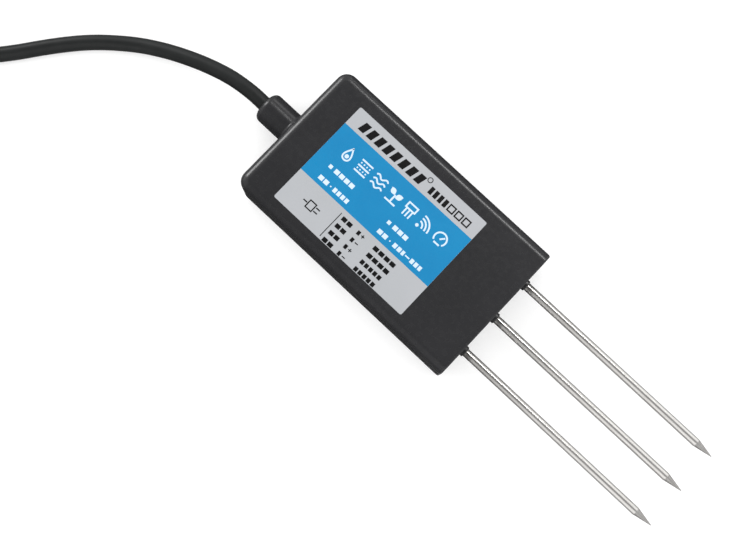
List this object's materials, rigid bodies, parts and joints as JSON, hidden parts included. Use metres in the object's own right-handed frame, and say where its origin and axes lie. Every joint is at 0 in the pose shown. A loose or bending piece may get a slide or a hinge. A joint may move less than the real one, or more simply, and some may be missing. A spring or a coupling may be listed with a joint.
{
  "type": "soil moisture sensor",
  "caption": "Flat potted soil moisture sensor with parallel steel probes at one end, and a round signal cable from a boss at the other, coiled for storage.",
  "frame": {"origin": "on the surface that the sensor lies on, under the middle of the sensor from the end of its cable boss to its probe points", "axes": "+X along the probes towards their points, +Y across the label towards the top of its print, +Z out of the label"},
  "size_m": [0.3171, 0.0918, 0.0152],
  "materials": {
    "housing": "moulded ABS, satin, with a very fine grain",
    "resin": "poured black epoxy, glossy",
    "label_film": "printed polyester film, satin grey with a blue band",
    "probe_steel": "drawn stainless steel, ground points",
    "sleeve": "black heat-shrink tube",
    "solder": "bright solder",
    "grommet": "black rubber",
    "jacket": "black PVC cable jacket, satin",
    "clamp": "natural nylon",
    "core_red": "red PVC insulation",
    "core_green": "green PVC insulation",
    "core_blue": "blue PVC insulation",
    "core_yellow": "yellow PVC insulation",
    "board": "solder-masked glass-epoxy board",
    "chip": "moulded component body",
    "can": "drawn metal can",
    "ceramic": "fired ceramic chip",
    "tie": "black nylon tie",
    "tinned_wire": "tinned copper strands"
  },
  "bodies": {
    "root": {"housing_shell": "housing", "potting": "resin", "label": "label_film", "probe_left": "probe_steel", "probe_centre": "probe_steel", "probe_right": "probe_steel", "sleeve_left": "sleeve", "sleeve_centre": "sleeve", "sleeve_right": "sleeve", "probe_joint_left": "solder", "probe_joint_centre": "solder", "probe_joint_right": "solder", "cable_grommet": "grommet", "cable_inner": "jacket", "cable_clamp": "clamp", "jacket_shrink": "sleeve", "core_red": "core_red", "core_green": "core_green", "core_blue": "core_blue", "core_yellow": "core_yellow", "wire_joint_red": "solder", "wire_joint_green": "solder", "wire_joint_blue": "solder", "wire_joint_yellow": "solder", "pcb": "board", "controller": "chip", "transceiver": "chip", "regulator": "chip", "crystal": "can", "inductor": "chip", "bulk_capacitor": "can", "capacitor_a": "ceramic", "capacitor_b": "ceramic", "capacitor_c": "ceramic", "resistor_a": "chip", "resistor_b": "chip", "resistor_c": "chip", "diode_a": "chip", "diode_b": "chip", "thermistor": "chip", "cable_tube": "jacket", "cable_coil": "jacket", "cable_tail": "jacket", "coil_tie_a": "tie", "coil_tie_b": "tie", "lead_red": "core_red", "lead_green": "core_green", "lead_blue": "core_blue", "lead_yellow": "core_yellow", "tinned_red": "tinned_wire", "tinned_green": "tinned_wire", "tinned_blue": "tinned_wire", "tinned_yellow": "tinned_wire"}
  },
  "joints": []
}
